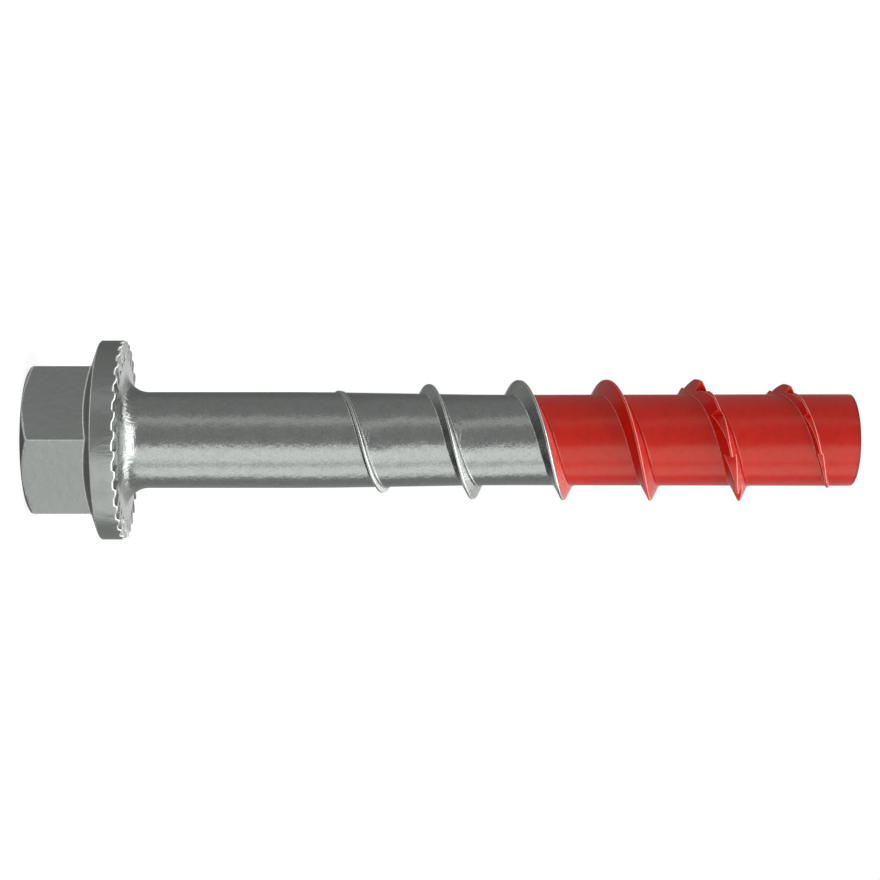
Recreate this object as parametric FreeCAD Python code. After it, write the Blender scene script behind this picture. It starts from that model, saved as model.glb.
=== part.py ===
import FreeCAD, Part
import math
import os

# Concrete screw with a forged hex washer head. Sizes are in millimetres and angles in degrees.
# The screw stands on the flat end of its head: Z = 0 is that end, and +Z runs along the axis to the tip.

# Hex
across_flats = 15.0
end_chamfer_angle = 30.0
end_chamfer_diameter = 14.6

# Washer forged with the hex
head_height = 9.85
washer_diameter = 20.6
washer_rim_height = 2.5
washer_cone_angle = 20.0
washer_edge_radius = 0.3

# Locking serrations pressed into the underside of the washer
serration_count = 32
serration_depth = 0.25
serration_length = 1.9
serration_width = 1.4
serration_slope_width = 0.45
serration_wall_width = 0.15
serration_start_angle = -87.2

# Shank and rolled core
length_under_head = 74.85
head_fillet_radius = 2.3
shank_diameter = 9.95
shank_length = 19.55
taper_length = 18.1
core_diameter = 9.36
tip_diameter = 9.5
tip_edge = 0.1

# Rolled thread, one start, right-handed
pitch = 9.18
plain_length = 18.95
thread_start_angle = 54.0
thread_turns = 6.03
run_in_turns = 1.95
run_out_turns = 0.98
thread_diameter = 12.4
lead_thread_diameter = 12.66
flank_angle = 25.0
crest_width = 0.25
sunk_depth = 0.4
rows_per_turn = 12

# Saw-tooth notches rolled into the last turns
notches_per_turn = 8
notch_length_ratio = 0.68
notch_count = 15
first_notch_turn = 4.019
notch_depth_ratio = 0.7
notch_clearance = 0.5

total_length = head_height + length_under_head
washer_radius = washer_diameter / 2
rim_top = head_height - washer_rim_height
taper_start = head_height + shank_length
taper_end = taper_start + taper_length
thread_start = head_height + plain_length
flank_slope = math.tan(math.radians(flank_angle))


def between(value, stations):
    """Straight-line value through a list of (position, value) stations."""
    for (low, low_value), (high, high_value) in zip(stations, stations[1:]):
        if value <= high:
            break
    share = (value - low) / (high - low)
    return low_value + share * (high_value - low_value)


def core_radius(height):
    """Radius of the shank, the taper and the core, without the thread."""
    stations = [(0.0, shank_diameter / 2), (taper_start, shank_diameter / 2),
                (taper_end, core_diameter / 2), (total_length, tip_diameter / 2)]
    return between(height, stations)


def turned_body():
    """Washer, fillet, shank, taper and core as one turned profile."""
    slope = math.radians(washer_cone_angle)
    cone_apex = rim_top - washer_radius * math.tan(slope)
    edge_flat = washer_edge_radius * math.tan((math.pi / 2 - slope) / 2)
    edge_middle_angle = (slope + math.pi / 2) / 2
    edge_centre = (washer_radius - washer_edge_radius, rim_top + edge_flat)
    fillet_end = shank_diameter / 2 + head_fillet_radius
    fillet_middle = head_fillet_radius * (1 - math.sqrt(0.5))

    def at(radius, height):
        return FreeCAD.Vector(radius, 0, height)

    cone_end = at(washer_radius - edge_flat * math.cos(slope), rim_top - edge_flat * math.sin(slope))
    edge_point = at(edge_centre[0] + washer_edge_radius * math.sin(edge_middle_angle),
                    edge_centre[1] - washer_edge_radius * math.cos(edge_middle_angle))
    rim_start = at(washer_radius, rim_top + edge_flat)
    underside = at(washer_radius, head_height)
    fillet_start = at(fillet_end, head_height)
    fillet_point = at(shank_diameter / 2 + fillet_middle, head_height + fillet_middle)
    shank_start = at(shank_diameter / 2, head_height + head_fillet_radius)
    shank_end = at(shank_diameter / 2, taper_start)
    core_start = at(core_diameter / 2, taper_end)
    core_end = at(core_radius(total_length - tip_edge), total_length - tip_edge)
    tip_face = at(tip_diameter / 2 - tip_edge, total_length)
    edges = [
        Part.LineSegment(at(0, cone_apex), cone_end),
        Part.Arc(cone_end, edge_point, rim_start),
        Part.LineSegment(rim_start, underside),
        Part.LineSegment(underside, fillet_start),
        Part.Arc(fillet_start, fillet_point, shank_start),
        Part.LineSegment(shank_start, shank_end),
        Part.LineSegment(shank_end, core_start),
        Part.LineSegment(core_start, core_end),
        Part.LineSegment(core_end, tip_face),
        Part.LineSegment(tip_face, at(0, total_length)),
        Part.LineSegment(at(0, total_length), at(0, cone_apex)),
    ]
    profile = Part.Face(Part.Wire([edge.toShape() for edge in edges]))
    return profile.revolve(FreeCAD.Vector(), FreeCAD.Vector(0, 0, 1), 360)


def hexagon():
    """Hex prism with its corners turned off to a cone at the flat end."""
    corner_radius = across_flats / 2 / math.cos(math.radians(30))
    corners = []
    for step in range(7):
        angle = math.radians(90 + 60 * step)
        corners.append(FreeCAD.Vector(corner_radius * math.cos(angle), corner_radius * math.sin(angle), 0))
    prism = Part.Face(Part.makePolygon(corners)).extrude(FreeCAD.Vector(0, 0, rim_top))
    chamfer_height = (corner_radius - end_chamfer_diameter / 2) * math.tan(math.radians(end_chamfer_angle))
    chamfer = Part.makeCone(end_chamfer_diameter / 2, corner_radius, chamfer_height)
    above = Part.makeCylinder(corner_radius, rim_top - chamfer_height, FreeCAD.Vector(0, 0, chamfer_height))
    return prism.common(chamfer.fuse(above))


def serrations():
    """Radial grooves with a gentle slope and a steep wall, which leave ratchet teeth standing at the rim."""
    inner = washer_radius - serration_length
    half_width = serration_width / 2
    floor = head_height - serration_depth
    outline = [(-half_width, head_height), (serration_slope_width - half_width, floor),
               (half_width - serration_wall_width, floor), (half_width, head_height),
               (half_width, total_length), (-half_width, total_length), (-half_width, head_height)]
    wire = Part.makePolygon([FreeCAD.Vector(inner, across, height) for across, height in outline])
    groove = Part.Face(wire).extrude(FreeCAD.Vector(2 * serration_length, 0, 0))
    grooves = []
    for index in range(serration_count):
        turned = groove.copy()
        angle = serration_start_angle + 360 * index / serration_count
        turned.rotate(FreeCAD.Vector(), FreeCAD.Vector(0, 0, 1), angle)
        grooves.append(turned)
    return grooves


def crest_radius(turn):
    """The crest climbs out of the shank, stays nearly level and dies out before the tip."""
    start = core_radius(thread_start) - sunk_depth / 4
    end = core_radius(thread_start + pitch * thread_turns) - sunk_depth / 4
    stations = [(0.0, start), (run_in_turns, thread_diameter / 2),
                (thread_turns - run_out_turns, lead_thread_diameter / 2), (thread_turns, end)]
    return between(turn, stations)


def ridge_section(turn):
    """Four corners of the ridge in the plane through the axis: two at the crest, two sunk in the core."""
    height = thread_start + pitch * turn
    foot = core_radius(height) - sunk_depth
    half_crest = crest_width / 2
    half_foot = half_crest + (crest_radius(turn) - foot) * flank_slope
    return [(crest_radius(turn), height - half_crest), (crest_radius(turn), height + half_crest),
            (foot, height + half_foot), (foot, height - half_foot)]


def on_screw(turn, radius, height):
    angle = math.radians(thread_start_angle + 360 * turn)
    return FreeCAD.Vector(radius * math.cos(angle), radius * math.sin(angle), height)


def ridge_span(first_turn, last_turn):
    """One length of the helical ridge, closed by flat ends in planes through the axis."""
    rows = max(4, round((last_turn - first_turn) * rows_per_turn))
    turns = [first_turn + (last_turn - first_turn) * row / rows for row in range(rows + 1)]
    rails = []
    for corner in range(4):
        curve = Part.BSplineCurve()
        curve.interpolate([on_screw(turn, *ridge_section(turn)[corner]) for turn in turns])
        rails.append(curve.toShape())
    faces = [Part.makeRuledSurface(rails[corner], rails[(corner + 1) % 4]) for corner in range(4)]
    for turn in (first_turn, last_turn):
        corners = [on_screw(turn, *corner) for corner in ridge_section(turn)]
        faces.append(Part.Face(Part.makePolygon(corners + corners[:1])))
    shell = Part.makeShell(faces)
    shell.sewShape()
    span = Part.Solid(Part.Shell(shell.Faces))
    if span.Volume < 0:
        span.reverse()
    return span


def thread_ridge():
    """The whole ridge, made in equal lengths of about half a turn."""
    spans = math.ceil(2 * thread_turns)
    stops = [thread_turns * stop / spans for stop in range(spans + 1)]
    return [ridge_span(first, last) for first, last in zip(stops, stops[1:])]


def notch(turn):
    """Cutter for one saw tooth: a step down to the notch floor, then a ramp back up to the crest."""
    sweep = notch_length_ratio / notches_per_turn
    falls = [(turn, notch_depth_ratio), (turn + sweep / 2, notch_depth_ratio / 2), (turn + sweep, 0.0)]
    ends = []
    for place, fall in falls:
        crest = crest_radius(place)
        core = core_radius(thread_start + pitch * place)
        ends.append((place, crest - fall * (crest - core)))
    reach = crest_radius(turn) + notch_clearance
    low = thread_start + pitch * turn - pitch / 4
    ramp = Part.Arc(*[on_screw(place, radius, low) for place, radius in ends]).toShape()
    outer = Part.Arc(*[on_screw(place, reach, low) for place, radius in ends]).toShape()
    step = Part.makeLine(on_screw(turn, ends[0][1], low), on_screw(turn, reach, low))
    run_out = Part.makeLine(on_screw(turn + sweep, ends[2][1], low), on_screw(turn + sweep, reach, low))
    outline = Part.Wire([ramp, run_out, outer, step])
    return Part.Face(outline).extrude(FreeCAD.Vector(0, 0, pitch / 2 + pitch * sweep))


def concrete_screw():
    body = turned_body().fuse(hexagon()).cut(serrations())
    threaded = body.multiFuse(thread_ridge())
    notches = [notch(first_notch_turn + index / notches_per_turn) for index in range(notch_count)]
    return threaded.cut(notches)


os.makedirs("parts", exist_ok=True)
screw = concrete_screw()
print("solids", len(screw.Solids), "faces", len(screw.Faces), "valid", screw.isValid())
print("volume", round(screw.Volume, 1))
screw.exportStep("parts/concrete_screw.step")
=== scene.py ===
import math

import bmesh
import bpy
import numpy as np
from mathutils import Matrix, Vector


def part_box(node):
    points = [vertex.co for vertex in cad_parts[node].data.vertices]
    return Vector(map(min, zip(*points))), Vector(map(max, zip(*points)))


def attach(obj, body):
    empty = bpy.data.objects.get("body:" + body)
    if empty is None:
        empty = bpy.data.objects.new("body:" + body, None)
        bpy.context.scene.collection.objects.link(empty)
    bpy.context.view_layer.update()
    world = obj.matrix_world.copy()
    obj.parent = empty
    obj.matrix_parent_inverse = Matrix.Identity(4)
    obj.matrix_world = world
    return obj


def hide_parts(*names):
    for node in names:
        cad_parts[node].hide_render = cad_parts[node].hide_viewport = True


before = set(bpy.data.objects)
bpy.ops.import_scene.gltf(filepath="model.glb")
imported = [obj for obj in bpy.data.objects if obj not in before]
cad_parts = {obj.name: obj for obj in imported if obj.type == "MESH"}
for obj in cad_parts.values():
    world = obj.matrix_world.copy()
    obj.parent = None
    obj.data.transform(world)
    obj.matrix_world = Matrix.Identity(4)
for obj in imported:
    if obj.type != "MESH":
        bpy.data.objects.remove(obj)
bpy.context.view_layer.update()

# Camera
# The screw stands on its head, so the view is turned a quarter turn: the tip points right, as in
# the photograph. The eye stands a little above the start of the taper, looking level at the axis. Its
# height and distance are metres, and the lens and the sensor millimetres.
EYE_HEIGHT = 0.03424
EYE_DISTANCE = 0.196
FOCAL_LENGTH = 77.4
SENSOR_WIDTH = 36.0
PHOTO_WIDTH = 880.0
PHOTO_EYE_X = 362.5

camera_data = bpy.data.cameras.new("camera")
camera_data.sensor_width = SENSOR_WIDTH
camera_data.lens = FOCAL_LENGTH
camera_data.shift_x = 0.5 - PHOTO_EYE_X / PHOTO_WIDTH
camera_data.clip_start = 0.01
camera = bpy.data.objects.new("camera", camera_data)
bpy.context.scene.collection.objects.link(camera)
turned_right = Matrix(((0, -1, 0), (0, 0, -1), (1, 0, 0)))
camera.matrix_world = Matrix.Translation((0, -EYE_DISTANCE, EYE_HEIGHT)) @ turned_right.to_4x4()
bpy.context.scene.camera = camera

# Concrete screw
# One piece of hardened steel: the head and its washer are cold forged, the serrations pressed, the
# coarse thread and its saw teeth rolled, the tip cut off flat. It is plated all over, and the tip
# half is dipped in a red coat. Sizes are millimetres and angles degrees until the mesh is made.
MM = 0.001
node_low, node_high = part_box("concrete_screw")
WASHER_RADIUS = (node_high[0] - node_low[0]) / 2 / MM
TOTAL_LENGTH = (node_high[2] - node_low[2]) / MM
BEARING_HEIGHT = TOTAL_LENGTH - 74.85

ACROSS_FLATS = 15.0
HEX_CORNER_ANGLE = -90.0
HEX_CORNER_ROUND = 0.16
HEX_EDGE_REACH = 0.8
# The hex corners' wear lightens their colour: partly rubbed metal, partly a painted highlight line.
HEX_EDGE_WEAR_GLINT = 0.45
CHAMFER_RADIUS = 7.3
CHAMFER_ANGLE = 30.0
WASHER_RIM = 2.5
WASHER_CONE_ANGLE = 20.0
WASHER_EDGE_ROUND = 0.2
SERRATIONS = 32
SERRATION_WALL_ANGLE = -83.3
SERRATION_DEPTH = 0.25
SERRATION_LENGTH = 1.9
SERRATION_CREST_SHARE = 0.31
SERRATION_SLOPE_SHARE = 0.22
SERRATION_WALL_SHARE = 0.075
FILLET_RADIUS = 2.3
SHANK_RADIUS = 4.975
CORE_RADIUS = 4.68
TIP_RADIUS = 4.75
TAPER_START = BEARING_HEIGHT + 19.55
TAPER_END = TAPER_START + 18.1
TIP_EDGE = 0.1

PITCH = 9.18
THREAD_START = BEARING_HEIGHT + 18.95
RUN_UP = 1.5
CREST_SUNK = 0.1
# Wear fades out where the ridge is lower than this; the wear's lighter colour is partly a painted highlight.
WEAR_AND_GLINT_RISE = 0.3
THREAD_START_ANGLE = 54.0
THREAD_TURNS = 6.03
RUN_IN_TURNS = 1.95
RUN_OUT_TURNS = 0.98
CREST_RADIUS = 6.2
LEAD_CREST_RADIUS = 6.33
FLANK_SLOPE = math.tan(math.radians(25.0))
FIRST_TURNS_SLOPE = math.tan(math.radians(15.0))
LAND_WIDTH = 0.22
TIP_SIDE_SLOPE = [(1.6, FIRST_TURNS_SLOPE), (2.4, FLANK_SLOPE)]
LIP_GAP = 0.02
LIP_WIDTH = 0.08
LIP_HEIGHT = 0.14
LIP_SHARE = [(0.0, 0.0), (0.2, 1.0), (1.9, 1.0), (2.3, 0.4), (5.0, 0.4), (5.4, 0.0)]
WANDER = [(0.85, -0.25), (1.35, -0.1), (1.6, -0.25), (1.85, -0.1), (2.85, 0.1), (3.35, -0.1)]
# The first turns' tip-side flank is made lighter: partly rubbed, partly a painted sheen.
FLANK_WEAR_AND_SHEEN = [(1.68, 0.5), (1.8, 0.3), (2.9, 0.3), (3.0, 0.0)]
NOTCHES_PER_TURN = 8
NOTCHES = 15
FIRST_NOTCH = 4.019
NOTCH_DEPTH_SHARE = 0.7
RAMP_SHARE = 0.68
STEP_WIDTH = 0.1

RED_EDGE_TURN = 2.35
RED_EDGE_SHIFT = 0.25

COLUMNS_PER_SERRATION = 8
WELD_REACH = 0.002
SHARP_ANGLE = 50.0


def column_angles():
    """Even angles around the axis in step with the serrations, with more of them at the foot of each
    serration's wall, at the corners of the hex and just past each step of the saw teeth. They start where
    the thread starts and end a full circle on."""
    first_wall = SERRATION_WALL_ANGLE - THREAD_START_ANGLE
    count = SERRATIONS * COLUMNS_PER_SERRATION
    even = first_wall + np.arange(count) * 360 / count
    walls = first_wall + (np.arange(SERRATIONS) - SERRATION_WALL_SHARE) * 360 / SERRATIONS
    first_corner = HEX_CORNER_ANGLE - THREAD_START_ANGLE
    corners = (first_corner + np.arange(6) * 60)[:, None] + HEX_EDGE_REACH * np.linspace(-1, 1, 9)
    first_steps = (FIRST_NOTCH + np.arange(NOTCHES_PER_TURN) / NOTCHES_PER_TURN) * 360
    steps = first_steps[:, None] + np.array([0.0, STEP_WIDTH])
    inner = np.concatenate([even, walls, corners.ravel(), steps.ravel(), [0.0]]) % 360
    return np.append(np.unique(np.round(inner, 4)), 360.0)


TURNED = column_angles()
ANGLE = THREAD_START_ANGLE + TURNED


def rounded(corners, edges):
    """Rows of a profile whose corners are rounded, each row with its radius, height and wear. Each edge
    gives its corner a radius, a number of pieces and a wear level, which lightens the colour there: partly
    rubbed metal, partly a painted highlight along the edge. A corner becomes a parabola that leaves each of
    its two sides at the radius over the tangent of half the corner, or at 0.45 of the side where that is
    shorter. Its wear level, and so its painted highlight, rises as a parabola to the middle of the corner."""
    plain = np.zeros(corners.shape[1:-1] + (1,))
    rows = [np.append(corners[0], plain, axis=-1)]
    for index, (radius, pieces, wear_and_glint) in enumerate(edges, start=1):
        before = corners[index - 1] - corners[index]
        after = corners[index + 1] - corners[index]
        length_before = np.maximum(np.linalg.norm(before, axis=-1, keepdims=True), 1e-9)
        length_after = np.maximum(np.linalg.norm(after, axis=-1, keepdims=True), 1e-9)
        cosine = np.sum(before * after, axis=-1, keepdims=True) / (length_before * length_after)
        half = np.arccos(np.clip(cosine, -1, 1)) / 2
        reach = radius / np.maximum(np.tan(half), 1e-3)
        reach = np.minimum(reach, 0.45 * np.minimum(length_before, length_after))
        first = corners[index] + before / length_before * reach
        last = corners[index] + after / length_after * reach
        for share in np.linspace(0, 1, pieces + 1):
            spot = (1 - share) ** 2 * first + 2 * share * (1 - share) * corners[index] + share ** 2 * last
            rows.append(np.append(spot, plain + wear_and_glint * 4 * share * (1 - share), axis=-1))
    rows.append(np.append(corners[-1], plain, axis=-1))
    return np.array(rows)


def from_hex_corner(angle):
    """Degrees from the nearest corner of the hex."""
    return (angle - HEX_CORNER_ANGLE + 30) % 60 - 30


def hex_radius(angle):
    """Distance from the axis to the hex in a direction: half the width across flats over the cosine of the
    angle from the middle of the flat, and near a corner the distance to the circle that rounds it."""
    off_corner = np.radians(np.abs(from_hex_corner(angle)))
    half_flat = math.radians(30)
    flat = ACROSS_FLATS / 2 / np.cos(half_flat - off_corner)
    centre = (ACROSS_FLATS / 2 - HEX_CORNER_ROUND) / math.cos(half_flat)
    under_root = np.maximum(HEX_CORNER_ROUND ** 2 - (centre * np.sin(off_corner)) ** 2, 0)
    arc = centre * np.cos(off_corner) + np.sqrt(under_root)
    arc_side = HEX_CORNER_ROUND * math.sin(half_flat)
    arc_end = math.atan2(arc_side, centre + HEX_CORNER_ROUND * math.cos(half_flat))
    return np.where(off_corner < arc_end, arc, flat)


def groove_share(angle):
    """0 on a serration's crest, then a slope that falls to 1, the floor, and a steep wall up to the next
    crest."""
    place = ((angle - SERRATION_WALL_ANGLE) * SERRATIONS / 360 + 1e-3) % 1
    floor_start = SERRATION_CREST_SHARE + SERRATION_SLOPE_SHARE
    floor_end = 1 - SERRATION_WALL_SHARE
    return np.interp(place, [0, SERRATION_CREST_SHARE, floor_start, floor_end, 1], [0, 0, 1, 1, 0])


def point(radius, height):
    """One place of the profile for every column, as radius and height."""
    return np.stack(np.broadcast_arrays(radius + 0 * ANGLE, height + 0 * ANGLE), axis=-1)


def core_radius(height):
    """Shank, taper and core without the thread, as straight lines between four heights."""
    heights = [0, TAPER_START, TAPER_END, TOTAL_LENGTH]
    return np.interp(height, heights, [SHANK_RADIUS, SHANK_RADIUS, CORE_RADIUS, TIP_RADIUS])


def head_rows():
    """Profile from the centre of the head's end to the shank, one for each column: the flat end, the
    chamfer, the hex, the washer's cone and rim, a serration, its inner wall, the flat seat and a quarter
    circle as the fillet."""
    hexagon = hex_radius(ANGLE)
    cone = math.tan(math.radians(WASHER_CONE_ANGLE))
    rim_top = BEARING_HEIGHT - WASHER_RIM
    chamfer_top = (hexagon - CHAMFER_RADIUS) * math.tan(math.radians(CHAMFER_ANGLE))
    hex_end = rim_top - (WASHER_RADIUS - hexagon) * cone
    groove_floor = BEARING_HEIGHT - SERRATION_DEPTH * groove_share(ANGLE)
    groove_end = WASHER_RADIUS - SERRATION_LENGTH
    corners = np.array([
        point(0, 0), point(CHAMFER_RADIUS, 0), point(hexagon, chamfer_top), point(hexagon, hex_end),
        point(WASHER_RADIUS, rim_top), point(WASHER_RADIUS, groove_floor), point(groove_end, groove_floor),
        point(groove_end, BEARING_HEIGHT), point(SHANK_RADIUS + FILLET_RADIUS, BEARING_HEIGHT)])
    # Each edge's radius, pieces and wear, from the flat end's rim to the seat. The wear lightens the colour
    # along the edge: partly rubbed metal, partly a painted highlight, strongest on the serrations' outer
    # edge.
    edges = [(0.25, 2, 0.2), (0.5, 4, 0.45), (0.25, 4, 0.7), (WASHER_EDGE_ROUND, 6, 0.55), (0.15, 4, 1.3),
             (0.05, 2, 0.2), (0.1, 2, 0.3)]
    rows = rounded(corners, edges)
    # The hex corners are lightened too, partly as rubbed metal and partly as a painted highlight line.
    edge_wear_and_glint = HEX_EDGE_WEAR_GLINT * np.clip(1 - np.abs(from_hex_corner(ANGLE)) / HEX_EDGE_REACH, 0, 1)
    inward = hexagon - rows[..., 0]
    on_flats = (inward > -0.01) & (inward < 0.3) & (rows[..., 1] < hex_end + 0.1)
    rows[..., 2] = np.maximum(rows[..., 2], edge_wear_and_glint * on_flats)
    sweep = np.linspace(0, math.pi / 2, 13)[1:, None]
    fillet_radii = SHANK_RADIUS + FILLET_RADIUS * (1 - np.sin(sweep))
    fillet = point(fillet_radii, BEARING_HEIGHT + FILLET_RADIUS * (1 - np.cos(sweep)))
    return np.concatenate([rows, np.pad(fillet, ((0, 0), (0, 0), (0, 1)))])


def along(turn, stations):
    """Straight-line value through a list of (turn, value) stations."""
    turns, values = zip(*stations)
    return np.interp(turn, turns, values)


def crest_radius(turn):
    """The crest climbs out of the shank, stays nearly level and dies out before the tip, all on straight
    lines. It starts and ends a little below the surface."""
    start = core_radius(THREAD_START) - CREST_SUNK
    end = core_radius(THREAD_START + PITCH * THREAD_TURNS) - CREST_SUNK
    lead = THREAD_TURNS - RUN_OUT_TURNS
    stations = [(0.0, start), (RUN_IN_TURNS, CREST_RADIUS), (lead, LEAD_CREST_RADIUS), (THREAD_TURNS, end)]
    return along(turn, stations)


def ridge_top(turn):
    """Radius of the ridge's top: the crest, and from each step of a saw tooth a straight ramp from the
    notch's floor back to the crest."""
    crest = crest_radius(turn)
    core = core_radius(THREAD_START + PITCH * turn)
    past = (turn - FIRST_NOTCH) * NOTCHES_PER_TURN - 1e-4
    share = np.minimum(past % 1 / RAMP_SHARE, 1)
    notched = (past > 0) & (past < NOTCHES)
    return np.where(notched, crest - (1 - share) * NOTCH_DEPTH_SHARE * np.maximum(crest - core, 0), crest)


def thread_rows():
    """The threaded length as a helical grid. A row keeps its distance from the thread's centre line all
    the way round, and comes one pitch further on after a full circle. Rows past either end lie on the last
    ring. The first turns have a steeper flank on the tip side, with a small lip of pushed-up metal at its
    foot, and the whole ridge wanders a little along the axis."""
    first_height = THREAD_START - RUN_UP
    last_height = TOTAL_LENGTH - TIP_EDGE
    turns_before = math.ceil((THREAD_START - first_height) / PITCH) + 1
    # Each edge's radius, pieces and wear, from the head-side foot over the crest to the lip. The wear
    # lightens the colour: partly rubbed metal, partly painted highlight lines at the foot, the crest and the
    # lip.
    edges = [(0.2, 4, 0.35), (0.06, 3, 0.8), (0.13, 4, 1.2), (0.1, 2, 0.2), (0.05, 1, 0.0), (0.04, 2, 1.0),
             (0.04, 2, 1.0), (0.05, 1, 0.0)]
    rows = []
    for whole in range(-turns_before, math.ceil(THREAD_TURNS)):
        turn = whole + TURNED / 360
        centre = THREAD_START + PITCH * turn
        core = core_radius(centre)
        crest = crest_radius(turn)
        real = (turn > 0) & (turn < THREAD_TURNS)
        rise = np.where(real, np.maximum(ridge_top(turn) - core, 0), 0)
        half_land = LAND_WIDTH / 2 + np.maximum(crest - core - rise, 0) * FLANK_SLOPE * real
        half_foot = half_land + rise * FLANK_SLOPE
        tip_foot = half_land + rise * along(turn, TIP_SIDE_SLOPE)
        lip = LIP_HEIGHT * along(turn, LIP_SHARE)
        lip_start = tip_foot + LIP_GAP
        corners = np.array([
            point(0, -PITCH / 2), point(0, -half_foot), point(rise, -half_land), point(rise, half_land),
            point(0, tip_foot), point(0, lip_start), point(lip, lip_start + LIP_WIDTH),
            point(lip, lip_start + 2 * LIP_WIDTH), point(0, lip_start + 3 * LIP_WIDTH), point(0, PITCH / 2)])
        section = rounded(corners, edges)[1:]
        # On the first turns the tip-side flank is lightened: partly rubbed, partly a painted sheen.
        on_flank = (section[..., 1] > half_land) & (section[..., 1] < tip_foot)
        section[..., 2] = np.maximum(section[..., 2], along(turn, FLANK_WEAR_AND_SHEEN) * on_flank)
        lip_share = np.where(section[..., 1] > tip_foot, lip / LIP_HEIGHT, 1)
        section[..., 2] *= real * np.clip(rise / WEAR_AND_GLINT_RISE, 0, 1) * lip_share
        heights = np.clip(centre + along(turn, WANDER) + section[..., 1], first_height, last_height)
        rows.append(np.stack([core_radius(heights) + section[..., 0], heights, section[..., 2]], axis=-1))
    return np.concatenate(rows)


def tip_rows():
    """Small broken edge and flat end, down to the centre of the tip."""
    side = point(TIP_RADIUS, TOTAL_LENGTH - 1.0)
    corners = np.array([side, point(TIP_RADIUS, TOTAL_LENGTH), point(0, TOTAL_LENGTH)])
    return rounded(corners, [(TIP_EDGE, 3, 0.0)])[1:]


def sheet(rows):
    """Grid of points from rows of radius and height at the column angles, faces outwards."""
    count, width = rows.shape[:2]
    angle = np.radians(ANGLE)
    places = np.stack([rows[..., 0] * np.cos(angle), rows[..., 0] * np.sin(angle), rows[..., 1]], axis=-1)
    index = np.arange(count * width).reshape(count, width)
    quads = np.stack([index[:-1, :-1], index[:-1, 1:], index[1:, 1:], index[1:, :-1]], axis=-1).reshape(-1, 4)
    return places.reshape(-1, 3), quads


def past_red_edge(places):
    """Millimetres past the red coat's edge. On the camera's side the edge runs along the crest of the thread
    for half a turn, as a helix, and round the back it comes down again in one smooth slope, as a half
    cosine."""
    first = THREAD_START_ANGLE + 360 * RED_EDGE_TURN
    turned = (np.degrees(np.arctan2(places[:, 1], places[:, 0])) - first) % 360
    climb = np.where(turned < 180, turned / 360, (1 - np.cos(np.pi * turned / 180)) / 4)
    return places[:, 2] - (THREAD_START + RED_EDGE_SHIFT + PITCH * (RED_EDGE_TURN + climb))


profile = np.concatenate([head_rows(), thread_rows(), tip_rows()])
places, quads = sheet(profile)
mesh = bpy.data.meshes.new("screw_body")
mesh.from_pydata((places * MM).tolist(), [], quads.tolist())
mesh.attributes.new("past_red_edge", "FLOAT", "POINT").data.foreach_set("value", past_red_edge(places))
mesh.attributes.new("wear_and_glint", "FLOAT", "POINT").data.foreach_set("value", profile[..., 2].ravel())
cleaner = bmesh.new()
cleaner.from_mesh(mesh)
bmesh.ops.remove_doubles(cleaner, verts=cleaner.verts, dist=WELD_REACH * MM)
bmesh.ops.dissolve_degenerate(cleaner, edges=cleaner.edges, dist=1e-7)
cleaner.to_mesh(mesh)
cleaner.free()
mesh.shade_smooth()
mesh.set_sharp_from_angle(angle=math.radians(SHARP_ANGLE))
screw = bpy.data.objects.new("screw_body", mesh)
bpy.context.scene.collection.objects.link(screw)


class Value:
    """A shader socket in a sum: each operator adds the Math node that works it out."""

    def __init__(self, shading, socket):
        self.shading = shading
        self.socket = socket

    def math(self, operation, *others):
        sockets = dict(enumerate((self,) + others))
        return self.shading.node("ShaderNodeMath", {"operation": operation}, sockets)

    def __add__(self, other):
        return self.math("ADD", other)

    def __radd__(self, other):
        return self.math("ADD", other)

    def __sub__(self, other):
        return self.math("SUBTRACT", other)

    def __rsub__(self, other):
        return (self * -1).math("ADD", other)

    def __mul__(self, other):
        return self.math("MULTIPLY", other)

    def __rmul__(self, other):
        return self.math("MULTIPLY", other)

    def smooth(self, low, high):
        """0 below low, 1 above high, with an S-shaped rise between."""
        spots = {"Value": self, "From Min": low, "From Max": high}
        return self.shading.node("ShaderNodeMapRange", {"interpolation_type": "SMOOTHSTEP"}, spots)


class Shading:
    """The nodes of one material or of the world."""

    def __init__(self, owner):
        owner.use_nodes = True
        self.tree = owner.node_tree
        self.tree.nodes.clear()

    def node(self, kind, settings, sockets, output=0):
        """Add a node, put in its settings, then the values or links of its sockets, and give one output. A
        ramp's stops are a setting too: a list of places and their levels of grey."""
        made = self.tree.nodes.new(kind)
        for name, setting in settings.items():
            if name == "stops":
                self.lay_stops(made.color_ramp.elements, setting)
            else:
                setattr(made, name, setting)
        for name, given in sockets.items():
            if isinstance(given, Value):
                self.tree.links.new(given.socket, made.inputs[name])
            else:
                made.inputs[name].default_value = given
        return Value(self, made.outputs[output] if len(made.outputs) else None)

    def lay_stops(self, elements, stops):
        """Replace a new ramp's two stops."""
        elements.remove(elements[1])
        for index, (place, level) in enumerate(stops):
            element = elements[0] if index == 0 else elements.new(place)
            element.position = place
            element.color = (level, level, level, 1)

    def object_place(self, stretch):
        """Object coordinates in millimetres, each multiplied by its stretch, the blobs per millimetre."""
        place = self.node("ShaderNodeTexCoord", {}, {}, "Object")
        scale = tuple(share / MM for share in stretch)
        return self.node("ShaderNodeVectorMath", {"operation": "MULTIPLY"}, {0: place, 1: scale})

    def noise(self, place, detail):
        """Noise between 0 and 1 with one blob per unit of the place."""
        sockets = {"Vector": place, "Scale": 1.0, "Detail": detail, "Roughness": 0.6}
        return self.node("ShaderNodeTexNoise", {}, sockets, "Fac")

    def blend(self, share, first, second):
        """First colour where the share is 0, second where it is 1."""
        return self.node("ShaderNodeMix", {"data_type": "RGBA"}, {0: share, 6: first, 7: second}, 2)


STEEL = (0.345, 0.363, 0.348, 1)
STEEL_DARK = (0.28, 0.295, 0.283, 1)
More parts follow.
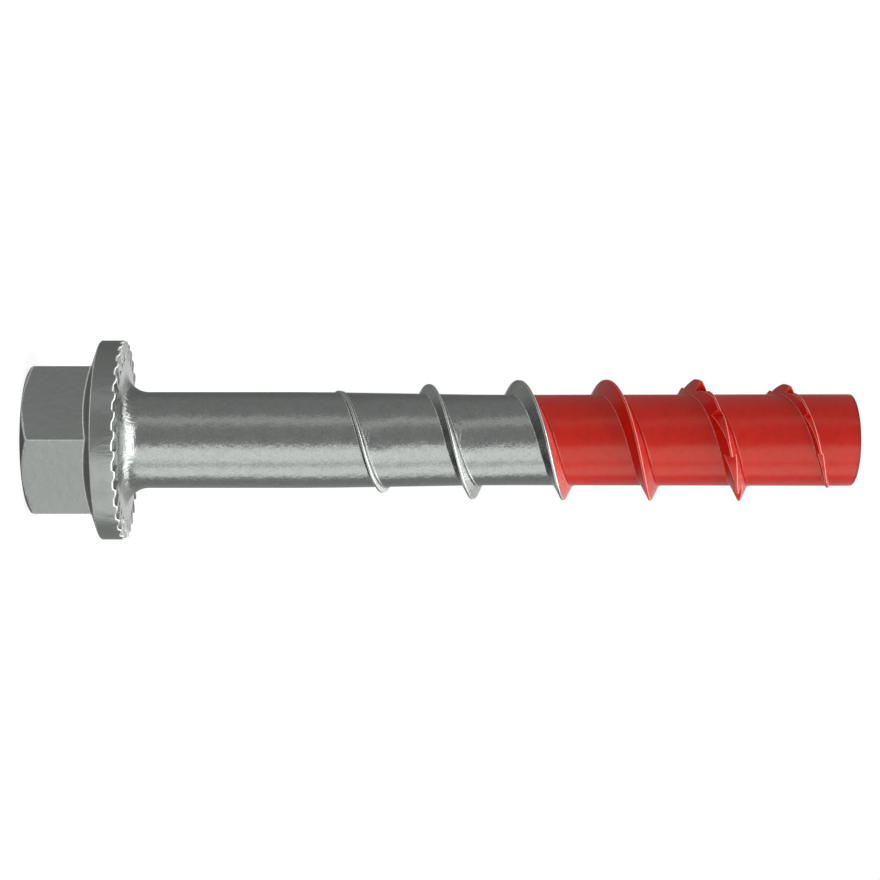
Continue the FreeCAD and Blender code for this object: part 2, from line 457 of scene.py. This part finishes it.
# Bright steel and pale red where the wear mask is high: rubbed edges, and painted highlights on edges and
# crests.
STEEL_BRIGHT = (0.86, 0.88, 0.86, 1)
RED_COAT = (0.53, 0.008, 0.003, 1)
RED_DEEP = (0.48, 0.005, 0.002, 1)
RED_THIN_GLINT = (0.84, 0.25, 0.20, 1)
# Darker red for a thin painted shade line at the rim of the tip's flat end.
RED_TIP_EDGE_SHADE = (0.22, 0.004, 0.002, 1)
COAT_EDGE_BLOBS = (1.2, 1.2, 1.2)
SPECKLE_BLOBS = (5, 5, 5)
MOTTLE_BLOBS = (1.1, 1.1, 1.1)
RING_BLOBS = (0.6, 0.6, 2.4)
RAY_BLOBS = 11.0
SEAT_REACH = 1.8
RELIEF_STRENGTH = 0.35
STEEL_RELIEF = 0.11
COAT_RELIEF = 0.045

plated = bpy.data.materials.new("plated_steel")
steel = Shading(plated)
coat_edge = steel.node("ShaderNodeAttribute", {"attribute_name": "past_red_edge"}, {}, "Fac")
wear_and_glint = steel.node("ShaderNodeAttribute", {"attribute_name": "wear_and_glint"}, {}, "Fac")
height = steel.node("ShaderNodeSeparateXYZ", {}, {0: steel.object_place((1, 1, 1))}, 2)
outward = steel.object_place((1, 1, 0))
off_axis = steel.node("ShaderNodeVectorMath", {"operation": "LENGTH"}, {0: outward}, "Value")
heading = steel.node("ShaderNodeVectorMath", {"operation": "NORMALIZE"}, {0: outward})
forged = 1 - height.smooth(BEARING_HEIGHT - 0.4, BEARING_HEIGHT + 0.2)
at_seat = (height - BEARING_HEIGHT).math("ABSOLUTE").smooth(SEAT_REACH, 0.4)
ragged = steel.noise(steel.object_place(COAT_EDGE_BLOBS), 3.0) - 0.5
speckle = steel.noise(steel.object_place(SPECKLE_BLOBS), 3.0)
mottle = steel.noise(steel.object_place(MOTTLE_BLOBS), 4.0)
rings = steel.noise(steel.object_place(RING_BLOBS), 3.0)
along_ray = steel.node("ShaderNodeCombineXYZ", {}, {2: off_axis * 0.5})
around = steel.node("ShaderNodeVectorMath", {"operation": "SCALE"}, {0: heading, "Scale": RAY_BLOBS})
rays = steel.noise(steel.node("ShaderNodeVectorMath", {"operation": "ADD"}, {0: around, 1: along_ray}), 3.0)
coat = (coat_edge + ragged * 0.15).smooth(-0.03, 0.03)
# Where edges and crests are worn the colour turns bright steel or pale red: partly bare metal, partly a
# painted highlight.
bare_and_glint = (wear_and_glint + (speckle - 0.5) * 0.5).smooth(0.15, 0.6)
light_plating = (speckle * 0.6 + mottle * 0.4).smooth(0.3, 0.62) * (1 - forged * 0.7)
steel_colour = steel.blend(bare_and_glint, steel.blend(light_plating, STEEL_DARK, STEEL), STEEL_BRIGHT)
# A darker red ring at the rim of the tip's flat end: painted shade along the edge.
at_tip = height.smooth(TOTAL_LENGTH - 0.35, TOTAL_LENGTH - 0.05)
tip_edge_shade = at_tip * off_axis.smooth(TIP_RADIUS - 0.25, TIP_RADIUS - 0.1)
red_body = steel.blend(tip_edge_shade, steel.blend(mottle.smooth(0.3, 0.6), RED_DEEP, RED_COAT), RED_TIP_EDGE_SHADE)
red_colour = steel.blend(bare_and_glint, red_body, RED_THIN_GLINT)
roughness = 0.12 + speckle * 0.1 + rings * 0.06 + forged * 0.14
relief = speckle * 0.3 + rings * 1.35 * (1 - forged) + mottle * 1.2 + rays * at_seat * 3.2
bump = steel.node("ShaderNodeBump", {}, {
    "Strength": RELIEF_STRENGTH, "Distance": STEEL_RELIEF * MM, "Height": relief})
metal = steel.node("ShaderNodeBsdfPrincipled", {}, {
    "Base Color": steel_colour, "Metallic": 1.0, "Roughness": roughness + bare_and_glint * 0.14, "Normal": bump})
coat_bump = steel.node("ShaderNodeBump", {}, {
    "Strength": RELIEF_STRENGTH, "Distance": COAT_RELIEF * MM, "Height": relief})
paint = steel.node("ShaderNodeBsdfPrincipled", {}, {
    "Base Color": red_colour, "Roughness": roughness + 0.04, "Normal": coat_bump,
    "Specular Tint": (1.0, 1.0, 0.8, 1)})
surface = steel.node("ShaderNodeMixShader", {}, {0: coat, 1: metal, 2: paint})
steel.node("ShaderNodeOutputMaterial", {}, {"Surface": surface})
mesh.materials.append(plated)
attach(screw, "root")
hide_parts("concrete_screw")

# Floor and light
# A pale floor that runs on into a white backdrop. The object is lit by a dim studio with tall bright panels
# on the +X side, a large lamp overhead, a weak one high at the back and one low in front, because plated
# metal mirrors them as bands. What the metal mirrors of the backdrop is a narrow strip behind the object.
# The panels are laid out by their bearing in degrees, from the camera round by -X, and each has its level.
# The lamps are laid out by the parts of a direction towards +X, +Y and +Z, each between -1 and 1.
FLOOR_RADIUS = 1.5
BACKDROP_REACH = 7.0
STUDIO_BANDS = [
    (-180, 0.40), (-104, 0.40), (-95, 1.60), (-69, 1.60), (-65, 0.85), (-59, 0.85), (-54, 1.60),
    (-19, 1.60), (-12, 0.46), (12, 0.42), (34, 0.45), (42, 0.80), (52, 0.80), (60, 0.42), (110, 0.38),
    (135, 0.26), (150, 0.20), (180, 0.30)]
BRIGHTEST = 2.0
OVERHEAD_LEVEL = 3.4
HIGH_BACK_LEVEL = 0.7
LOW_LAMP_LEVEL = 0.6
CEILING_LEVEL = 0.45
PIT_LEVEL = 0.15
PIT_WEST_LEVEL = 0.25
FLOOR_GLOW = 1.1
FLOOR_GLOW_SHARE = 0.8

bpy.ops.mesh.primitive_circle_add(vertices=96, radius=FLOOR_RADIUS, fill_type="NGON")
floor = bpy.context.object
floor.name = "floor"

pale = bpy.data.materials.new("pale_floor")
ground = Shading(pale)
seen = ground.node("ShaderNodeLightPath", {}, {}, "Is Camera Ray")
lit = ground.node("ShaderNodeBsdfDiffuse", {}, {"Color": (0.8, 0.8, 0.8, 1)})
glow = ground.node("ShaderNodeEmission", {}, {"Color": (1, 1, 1, 1), "Strength": FLOOR_GLOW})
white_floor = ground.node("ShaderNodeMixShader", {}, {0: FLOOR_GLOW_SHARE, 1: lit, 2: glow})
clear = ground.node("ShaderNodeBsdfTransparent", {}, {})
ground.node("ShaderNodeOutputMaterial", {}, {
    "Surface": ground.node("ShaderNodeMixShader", {}, {0: seen, 1: clear, 2: white_floor})})
floor.data.materials.append(pale)

world = bpy.data.worlds.new("studio")
bpy.context.scene.world = world
studio = Shading(world)
direction = studio.node("ShaderNodeTexCoord", {}, {}, "Generated")
east = studio.node("ShaderNodeSeparateXYZ", {}, {0: direction}, 0)
north = studio.node("ShaderNodeSeparateXYZ", {}, {0: direction}, 1)
upward = studio.node("ShaderNodeSeparateXYZ", {}, {0: direction}, 2)
bearing = (east * -1).math("ARCTAN2", north * -1) * (180 / math.pi)
band_stops = [(degrees / 360 + 0.5, level / BRIGHTEST) for degrees, level in STUDIO_BANDS]
bands = studio.node("ShaderNodeValToRGB", {"stops": band_stops}, {0: bearing * (1 / 360) + 0.5})
lamp_side = (east - 0.05).math("ABSOLUTE").smooth(0.50, 0.40)
lamp_depth = (north + 0.07).math("ABSOLUTE").smooth(0.62, 0.52)
overhead = lamp_side * lamp_depth * upward.smooth(0.3, 0.5)
high_back = lamp_side * north.smooth(0.35, 0.5) * upward.smooth(0.2, 0.35)
low_lamp = (upward + 0.74).math("ABSOLUTE").smooth(0.16, 0.08) * (north * -1).smooth(0.0, 0.3)
ceiling = upward.smooth(0.55, 0.85)
pit = (upward * -1).smooth(0.3, 0.6)
pit_light = PIT_LEVEL + (east * -1).smooth(0.0, 0.3) * PIT_WEST_LEVEL
walls = bands * BRIGHTEST * (1 - ceiling) * (1 - pit) + ceiling * CEILING_LEVEL + pit * pit_light
lamps = high_back * HIGH_BACK_LEVEL * (1 - overhead) + overhead * OVERHEAD_LEVEL
strength = walls * (1 - overhead) * (1 - high_back) + lamps + low_lamp * LOW_LAMP_LEVEL
room = studio.node("ShaderNodeBackground", {}, {"Color": (1, 1, 1, 1), "Strength": strength})
white = studio.node("ShaderNodeBackground", {}, {"Color": (1, 1, 1, 1), "Strength": 1.0})
off_back = 180 - bearing.math("ABSOLUTE")
behind = off_back.smooth(BACKDROP_REACH + 3, BACKDROP_REACH - 3) * (1 - pit)
camera_ray = studio.node("ShaderNodeLightPath", {}, {}, "Is Camera Ray")
glossy_ray = studio.node("ShaderNodeLightPath", {}, {}, "Is Glossy Ray")
through_ray = studio.node("ShaderNodeLightPath", {}, {}, "Is Transmission Ray")
sees_white = camera_ray.math("MAXIMUM", (glossy_ray + through_ray) * behind)
whole = studio.node("ShaderNodeMixShader", {}, {0: sees_white, 1: room, 2: white})
studio.node("ShaderNodeOutputWorld", {}, {"Surface": whole})
bpy.context.scene.view_settings.view_transform = "Standard"
